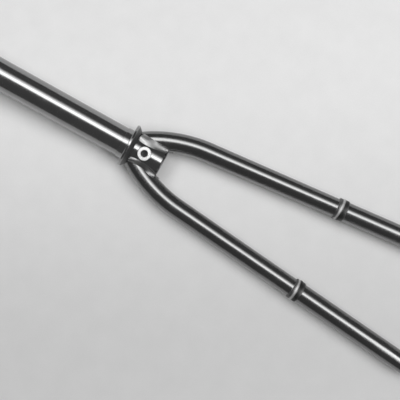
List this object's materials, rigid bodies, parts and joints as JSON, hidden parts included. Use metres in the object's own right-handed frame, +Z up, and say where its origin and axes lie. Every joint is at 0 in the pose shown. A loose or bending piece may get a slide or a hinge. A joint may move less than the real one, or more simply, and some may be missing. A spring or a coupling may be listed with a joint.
{
  "type": "bicycle fork",
  "caption": "Steel bicycle fork: straight steerer, crown race seat, coped bent blades with collars at mid-blade, brake bolt sleeve and slotted dropouts with eyelets.",
  "frame": {"origin": "centre of the crown race seat's shoulder, on the steerer's axis", "axes": "+Z up as the fork lies, out of its front; +Y level, from the crown to the dropouts; +X to the rider's right"},
  "size_m": [0.1346, 0.5828, 0.0581],
  "materials": {
    "plated_tube": "polished, plated drawn tube",
    "turned_steel": "turned, then plated",
    "plated_braze": "filed braze, plated",
    "forged_steel": "forged, dark plated"
  },
  "bodies": {
    "root": {"steerer_tube": "plated_tube", "crown_race_seat": "turned_steel", "brake_bolt_sleeve": "turned_steel", "left_upper_blade": "plated_tube", "right_upper_blade": "plated_tube", "left_crown_fillet": "plated_braze", "right_crown_fillet": "plated_braze", "left_collar": "turned_steel", "right_collar": "turned_steel", "left_lower_blade": "plated_tube", "right_lower_blade": "plated_tube", "left_blade_tip": "plated_braze", "right_blade_tip": "plated_braze", "left_dropout": "forged_steel", "right_dropout": "forged_steel"}
  },
  "joints": []
}
